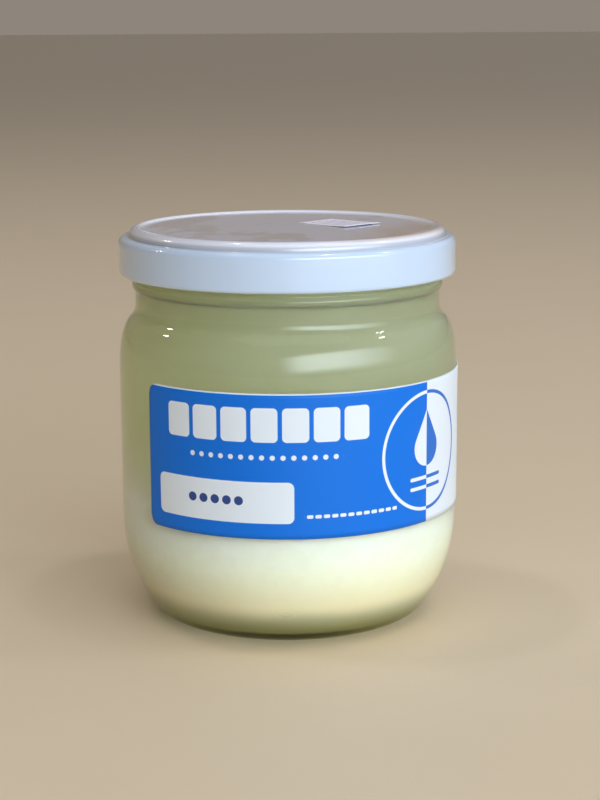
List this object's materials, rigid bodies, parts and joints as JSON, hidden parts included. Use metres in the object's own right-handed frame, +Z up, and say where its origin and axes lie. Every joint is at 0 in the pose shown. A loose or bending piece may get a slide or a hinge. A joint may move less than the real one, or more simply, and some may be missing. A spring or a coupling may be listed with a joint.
{
  "type": "jar of burrata",
  "caption": "Shut wide-mouth glass jar with a white twist-off lid and a blue and white wrap label, holding a soft white cheese ball in cloudy whey.",
  "frame": {"origin": "centre of the base, on the surface the jar stands on", "axes": "+Z up along the jar's axis; -Y towards the label's blue front"},
  "size_m": [0.0859, 0.0859, 0.0985],
  "materials": {
    "clear_glass": "clear moulded glass, smooth, with a faint green cast where it is thick",
    "white_lacquer": "glossy white lacquer on tinplate",
    "cloudy_whey": "cloudy green-grey whey, almost opaque",
    "fresh_cheese": "moist creamy white stretched-curd skin",
    "label_print": "satin coated label, blue front field and white side field",
    "sticker_paper": "matt white sticker paper with faint lavender bars"
  },
  "bodies": {
    "root": {"jar": "clear_glass", "lid": "white_lacquer", "whey": "cloudy_whey", "burrata": "fresh_cheese", "label": "label_print", "lid_sticker": "sticker_paper"}
  },
  "joints": []
}
